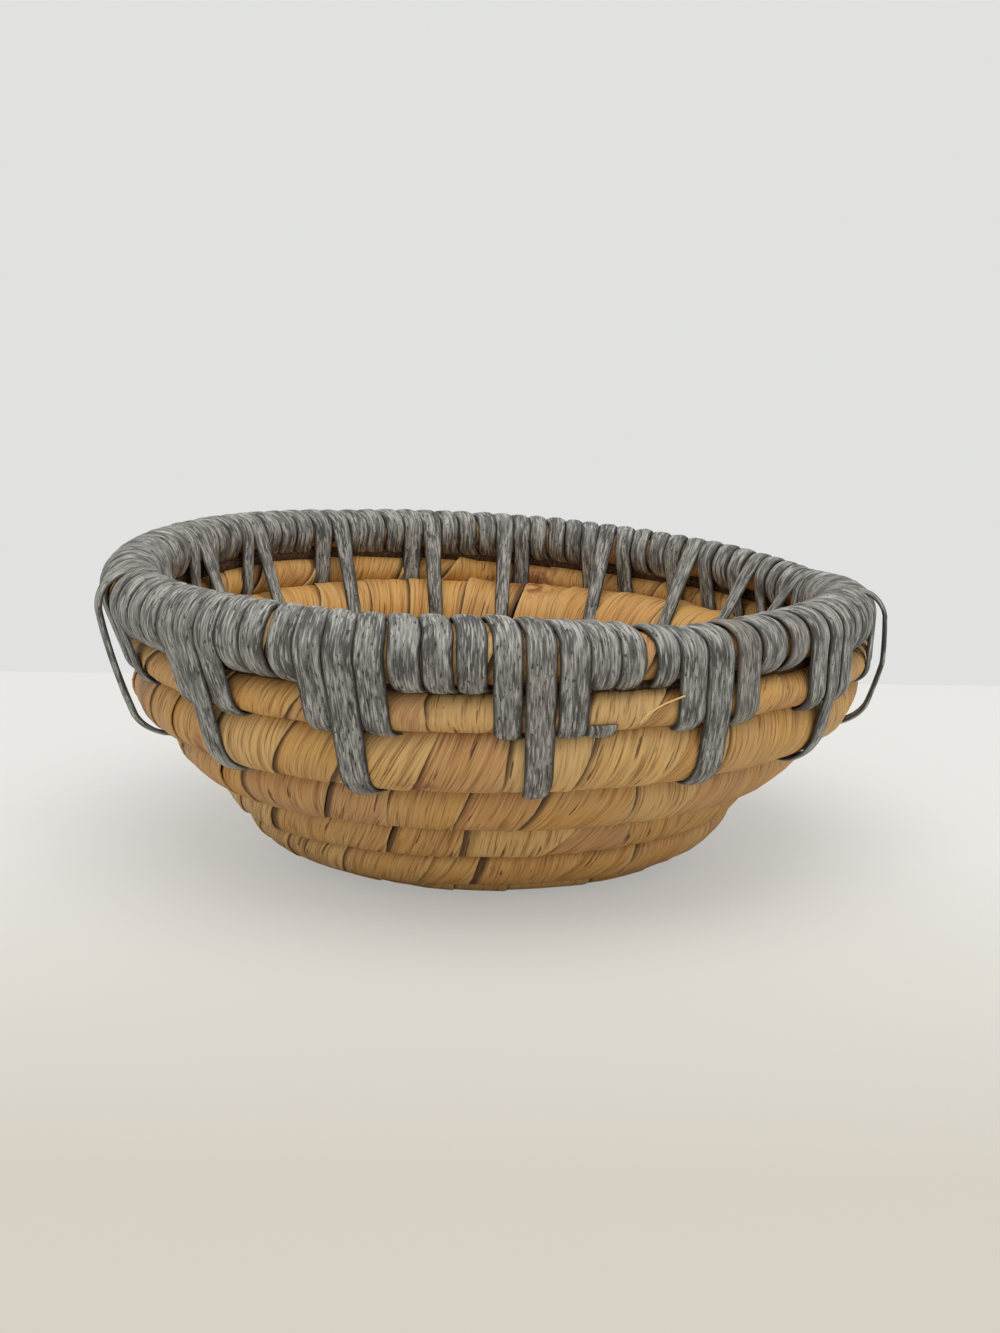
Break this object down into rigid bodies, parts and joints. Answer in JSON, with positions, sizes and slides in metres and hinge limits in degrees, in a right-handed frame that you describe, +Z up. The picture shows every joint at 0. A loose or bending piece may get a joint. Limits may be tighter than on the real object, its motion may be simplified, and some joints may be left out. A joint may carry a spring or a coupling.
{
  "type": "coiled basket",
  "caption": "Round open bowl wound from one leaf-wrapped fibre coil, with a thicker rim bound and lashed by flat grey bark strips.",
  "frame": {"origin": "on the surface the basket stands on, under the middle of its outline", "axes": "+Z up through the open mouth; -Y towards the front; +X to the right seen from the front"},
  "size_m": [0.2482, 0.248, 0.099],
  "materials": {
    "natural_leaf": "dry tan banana-bark leaf, satin, with fine lengthwise streaks and dark folds between the turns",
    "grey_bark": "flat bark strip stained grey, satin, streaked pale and black along its length",
    "fibre_core": "matt dry fibre bundle, hidden under the wraps"
  },
  "bodies": {
    "root": {"coil_core": "fibre_core", "leaf_wrap_1": "natural_leaf", "leaf_wrap_2": "natural_leaf", "leaf_wrap_3": "natural_leaf", "leaf_wrap_4": "natural_leaf", "leaf_wrap_5": "natural_leaf", "leaf_wrap_6": "natural_leaf", "leaf_wrap_7": "natural_leaf", "leaf_wrap_8": "natural_leaf", "leaf_wrap_9": "natural_leaf", "rim_core": "fibre_core", "lashing_01": "grey_bark", "lashing_02": "grey_bark", "lashing_03": "grey_bark", "lashing_04": "grey_bark", "lashing_05": "grey_bark", "lashing_06": "grey_bark", "lashing_07": "grey_bark", "lashing_08": "grey_bark", "lashing_09": "grey_bark", "lashing_10": "grey_bark", "lashing_11": "grey_bark", "lashing_12": "grey_bark", "lashing_13": "grey_bark", "lashing_14": "grey_bark", "lashing_15": "grey_bark", "lashing_16": "grey_bark", "lashing_17": "grey_bark", "lashing_18": "grey_bark", "rim_winding_01": "grey_bark", "rim_winding_02": "grey_bark", "rim_winding_03": "grey_bark", "rim_winding_04": "grey_bark", "rim_winding_05": "grey_bark", "rim_winding_06": "grey_bark", "rim_winding_07": "grey_bark", "rim_winding_08": "grey_bark", "rim_winding_09": "grey_bark", "rim_winding_10": "grey_bark", "rim_winding_11": "grey_bark", "rim_winding_12": "grey_bark", "rim_winding_13": "grey_bark", "rim_winding_14": "grey_bark", "rim_winding_15": "grey_bark", "rim_winding_16": "grey_bark", "rim_winding_17": "grey_bark", "rim_winding_18": "grey_bark", "strip_tail": "grey_bark"}
  },
  "joints": []
}
